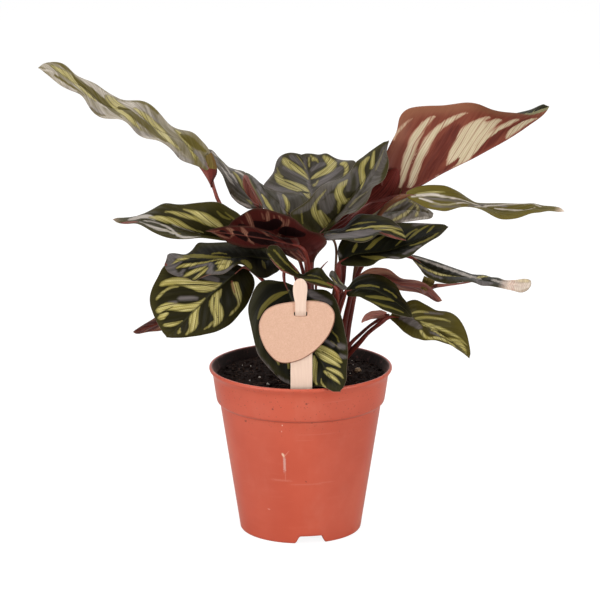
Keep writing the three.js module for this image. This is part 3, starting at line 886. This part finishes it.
// Thin blade lofted across rows of left margin, midrib, right margin.
function blade(rows) {
  const across = [-1, -0.5, 0, 0.5, 1], m = across.length, n = rows.length;
  const P = rows.map((r) => {
    const A = new THREE.Vector3(r[0], r[1], r[2]), M = new THREE.Vector3(r[3], r[4], r[5]), B = new THREE.Vector3(r[6], r[7], r[8]);
    return { A, M, B };
  });
  const grid = P.map(({ A, M, B }, i) => {
    const T = new THREE.Vector3().subVectors(P[Math.min(i + 1, n - 1)].M, P[Math.max(i - 1, 0)].M).normalize();
    return across.map((s) => {
      const E = s < 0 ? A : B, h = new THREE.Vector3().subVectors(E, M), w = h.length(), k = Math.abs(s);
      const N = s < 0 ? new THREE.Vector3().crossVectors(T, h) : new THREE.Vector3().crossVectors(h, T);
      N.normalize();
      return M.clone().addScaledVector(h, k).addScaledVector(N, w * LEAF_ARCH * 4 * k * (1 - k));
    });
  });
  const pos = [], idx = [];
  const normal = (i, j) => {
    const du = new THREE.Vector3().subVectors(grid[Math.min(i + 1, n - 1)][j], grid[Math.max(i - 1, 0)][j]);
    const dv = new THREE.Vector3().subVectors(grid[i][Math.max(j - 1, 0)], grid[i][Math.min(j + 1, m - 1)]);
    return new THREE.Vector3().crossVectors(du, dv).normalize();
  };
  for (const side of [1, -1])
    for (let i = 0; i < n; i++)
      for (let j = 0; j < m; j++) {
        const p = grid[i][j].clone().addScaledVector(normal(i, j), (side * LEAF_THICKNESS) / 2);
        pos.push(p.x, p.y, p.z);
      }
  const top = (i, j) => i * m + j, low = (i, j) => n * m + i * m + j;
  for (let i = 0; i + 1 < n; i++)
    for (let j = 0; j + 1 < m; j++) {
      idx.push(top(i, j), top(i, j + 1), top(i + 1, j), top(i, j + 1), top(i + 1, j + 1), top(i + 1, j));
      idx.push(low(i, j), low(i + 1, j), low(i, j + 1), low(i, j + 1), low(i + 1, j), low(i + 1, j + 1));
    }
  const wall = (a, b, c, d) => idx.push(a, b, c, b, d, c);
  for (let i = 0; i + 1 < n; i++) {
    wall(top(i, 0), top(i + 1, 0), low(i, 0), low(i + 1, 0));
    wall(top(i + 1, m - 1), top(i, m - 1), low(i + 1, m - 1), low(i, m - 1));
  }
  for (let j = 0; j + 1 < m; j++) {
    wall(top(0, j + 1), top(0, j), low(0, j + 1), low(0, j));
    wall(top(n - 1, j), top(n - 1, j + 1), low(n - 1, j), low(n - 1, j + 1));
  }
  return [pos, idx];
}

// Flat strip that may step sideways: rows of [x centre, y, z, half width].
function strip(rows, thick) {
  const pos = [], idx = [], n = rows.length;
  rows.forEach(([x, y, z, w], i) => {
    const a = rows[Math.max(i - 1, 0)], b = rows[Math.min(i + 1, n - 1)];
    const t = new THREE.Vector2(b[1] - a[1], b[2] - a[2]).normalize();
    const k = Math.min(1 / Math.max(0.75, Math.abs(t.y)), 1.35);
    const ny = -t.y * k * thick / 2, nz = t.x * k * thick / 2;
    pos.push(x - w, y + ny, z + nz, x + w, y + ny, z + nz, x + w, y - ny, z - nz, x - w, y - ny, z - nz);
  });
  for (let i = 0; i + 1 < n; i++)
    for (let s = 0; s < 4; s++) {
      const t = (s + 1) % 4, a = i * 4 + s, b = i * 4 + t, c = a + 4, d = b + 4;
      idx.push(a, b, c, b, d, c);
    }
  const l = (n - 1) * 4;
  idx.push(0, 2, 1, 0, 3, 2, l, l + 1, l + 2, l, l + 2, l + 3);
  return [pos, idx];
}

function plate(outline, y, thick) {
  const shape = new THREE.Shape(outline.map(([x, z]) => new THREE.Vector2(x, z)));
  const g = new THREE.ExtrudeGeometry(shape, { depth: thick, bevelEnabled: false, steps: 1 });
  g.rotateX(Math.PI / 2);
  g.translate(0, y + thick / 2, 0);
  return weld(g);
}
function box(x0, x1, y0, y1, z0, z1) {
  const g = new THREE.BoxGeometry(x1 - x0, y1 - y0, z1 - z0);
  g.translate((x0 + x1) / 2, (y0 + y1) / 2, (z0 + z1) / 2);
  return weld(g);
}

const part = new THREE.Group();
part.name = "potted_calathea";

// ---------------------------------------------------------------- pot
const innerR = (z) => {
  const pts = [[FLOOR_TOP_Z, POT_BASE_R + (STEP_R - POT_BASE_R) * (FLOOR_TOP_Z / STEP_Z) - WALL], [STEP_Z, STEP_R - WALL],
    [COLLAR_LOW_Z, COLLAR_LOW_R - WALL], [103, COLLAR_TOP_R - WALL], [POT_HEIGHT, POT_RIM_R - 2.2]];
  for (let i = 0; i + 1 < pts.length; i++)
    if (z <= pts[i + 1][0]) return pts[i][1] + ((pts[i + 1][1] - pts[i][1]) * (z - pts[i][0])) / (pts[i + 1][0] - pts[i][0]);
  return pts[4][1];
};
const potProfile = [
  [POT_BASE_R - 2.4, 0], [POT_BASE_R - 0.8, 0], [POT_BASE_R, 0.8],
  [STEP_R, STEP_Z - 0.5], [STEP_R + 0.5, STEP_Z + 0.5], [COLLAR_LOW_R - 0.4, COLLAR_LOW_Z - 1.7], [COLLAR_LOW_R, COLLAR_LOW_Z],
  [COLLAR_TOP_R, 103], [COLLAR_TOP_R + 0.7, 105.4], [POT_RIM_R - 0.5, 107.4], [POT_RIM_R, 108.8], [POT_RIM_R - 0.3, 109.7], [POT_RIM_R - 1.1, POT_HEIGHT],
  [POT_RIM_R - 2.0, 109.6], [innerR(108), 107.8], [innerR(103), 103], [innerR(COLLAR_LOW_Z), COLLAR_LOW_Z], [innerR(STEP_Z), STEP_Z],
  [innerR(FLOOR_TOP_Z), FLOOR_TOP_Z], [0, FLOOR_TOP_Z], [0, FLOOR_LOW_Z], [POT_BASE_R - 2.2, FLOOR_LOW_Z],
];
let pot = solidOf(...revolve(potProfile, POT_SEGMENTS));
for (let i = 0; i < NOTCH_COUNT; i++) {
  const a = -Math.PI / 2 + NOTCH_TURN + (2 * Math.PI * i) / NOTCH_COUNT;
  const w = NOTCH_WIDTH / 2, v = NOTCH_TOP_WIDTH / 2;
  const shape = new THREE.Shape([[-w, -1], [w, -1], [w - 1.3, 1.2], [v + 0.5, NOTCH_HEIGHT - 1.1], [v - 0.4, NOTCH_HEIGHT - 0.25], [-v + 0.4, NOTCH_HEIGHT - 0.25], [-v - 0.5, NOTCH_HEIGHT - 1.1], [-w + 1.3, 1.2]].map(([x, z]) => new THREE.Vector2(x, z)));
  const g = new THREE.ExtrudeGeometry(shape, { depth: 14, bevelEnabled: false });
  g.rotateX(Math.PI / 2);
  g.translate(0, -(POT_BASE_R - 8), 0);
  g.rotateZ(a + Math.PI / 2);
  const cut = solidOf(...weld(g));
  pot = pot.subtract(cut);
}
for (let i = 0; i < 6; i++) {
  const a = (Math.PI * i) / 3;
  const hole = new THREE.CylinderGeometry(DRAIN_HOLE_R, DRAIN_HOLE_R, 4, 14);
  hole.rotateX(Math.PI / 2);
  hole.translate(DRAIN_RING_R * Math.cos(a), DRAIN_RING_R * Math.sin(a), (FLOOR_LOW_Z + FLOOR_TOP_Z) / 2);
  pot = pot.subtract(solidOf(...weld(hole)));
}
part.add(meshFromSolid("pot", pot, 0xbf5238, 0.5));

// ---------------------------------------------------------------- stake and card
const stakeRows = [
  [0.5, STAKE_Y, STAKE_BOTTOM_Z, STAKE_HALF * 0.55], [0.5, STAKE_Y, STAKE_BOTTOM_Z + 6, STAKE_HALF], [0.5, STAKE_Y, 131, STAKE_HALF],
  [0.1, STAKE_Y, 150, NECK_HALF], [0, STAKE_Y, SLOT_Z - 1.6, NECK_HALF], [0, STAKE_Y - 2.6, SLOT_Z + 1.2, NECK_HALF], [0, STAKE_Y - 2.6, 168, NECK_HALF],
  [-0.3, STAKE_Y - 2.6, 171.3, HEAD_HALF - 0.3], [-0.3, STAKE_Y - 2.6, 174.8, HEAD_HALF], [-0.3, STAKE_Y - 2.6, 178, HEAD_HALF - 0.5],
  [-0.3, STAKE_Y - 2.6, 180, HEAD_HALF - 1.7], [-0.3, STAKE_Y - 2.6, STAKE_TOP_Z, HEAD_HALF - 3.3],
];
const stakeData = strip(stakeRows, STAKE_THICK);
part.add(meshFromSolid("label_stake", solidOf(...stakeData), 0xf0d8c2, 0.7));
let card = solidOf(...plate(CARD_OUTLINE, CARD_Y, CARD_THICK));
card = card.subtract(solidOf(...box(-SLOT_HALF_W, SLOT_HALF_W, CARD_Y - 3, CARD_Y + 3, SLOT_Z - 0.2 - SLOT_HALF_H, SLOT_Z - 0.2 + SLOT_HALF_H)));
part.add(meshFromSolid("label_card", card, 0xe4bda1, 0.8));

// ---------------------------------------------------------------- petioles and blades
for (const [key, rows] of Object.entries(STEM_ROWS)) {
  const [p, i] = tube(rows, 7);
  part.add(meshOf(key === "24" ? "young_spear" : "petiole_" + key, p, i, 0x6b2a22, 0.5));
}
for (const [key, rows] of Object.entries(LEAF_ROWS)) {
  const [p, i] = blade(rows);
  part.add(meshOf("leaf_" + key, p, i, 0x4c5524, 0.4));
}

// ---------------------------------------------------------------- soil
const bump = (x, y, z) => (z > 90 ? SOIL_BUMP * (Math.sin(x * 0.31 + 0.7) * Math.cos(y * 0.27 - 0.4) + 0.4 * Math.sin(x * 0.83 + y * 0.61)) : 0);
const sr = (z) => innerR(z) - CLEARANCE / Math.cos(Math.PI / POT_SEGMENTS) - 0.12;
const soilProfile = [
  [0, FLOOR_TOP_Z + CLEARANCE], [sr(FLOOR_TOP_Z + CLEARANCE), FLOOR_TOP_Z + CLEARANCE], [sr(STEP_Z), STEP_Z], [sr(COLLAR_LOW_Z), COLLAR_LOW_Z],
  [sr(102.4), 102.4], [sr(104) - 6, SOIL_TOP_Z - 0.4], [38, SOIL_TOP_Z], [26, SOIL_TOP_Z + 0.2], [13, SOIL_TOP_Z + 0.4], [0, SOIL_TOP_Z + 0.4],
];
const soilBump = (x, y, z) => (z > 103 ? bump(x, y, z) : 0);
let soil = solidOf(...revolve(soilProfile, POT_SEGMENTS, soilBump));
for (const rows of Object.values(STEM_ROWS)) {
  const q = rows.filter((r) => r[2] < 125);
  const first = q[0], second = q[1];
  const down = [first[0] - (second[0] - first[0]) * 0.02, first[1] - (second[1] - first[1]) * 0.02, first[2] - CLEARANCE, first[3]];
  soil = soil.subtract(solidOf(...tube([down, ...rows.slice(1, Math.max(3, q.length))], 7, CLEARANCE)));
}
soil = soil.subtract(solidOf(...strip([[0.5, STAKE_Y, STAKE_BOTTOM_Z - CLEARANCE, STAKE_HALF * 0.55 + CLEARANCE], [0.5, STAKE_Y, STAKE_BOTTOM_Z + 6, STAKE_HALF + CLEARANCE], [0.5, STAKE_Y, 112, STAKE_HALF + CLEARANCE]], STAKE_THICK + 2 * CLEARANCE)));
part.add(meshFromSolid("soil", soil, 0x2a1a12, 0.95));

export default part;
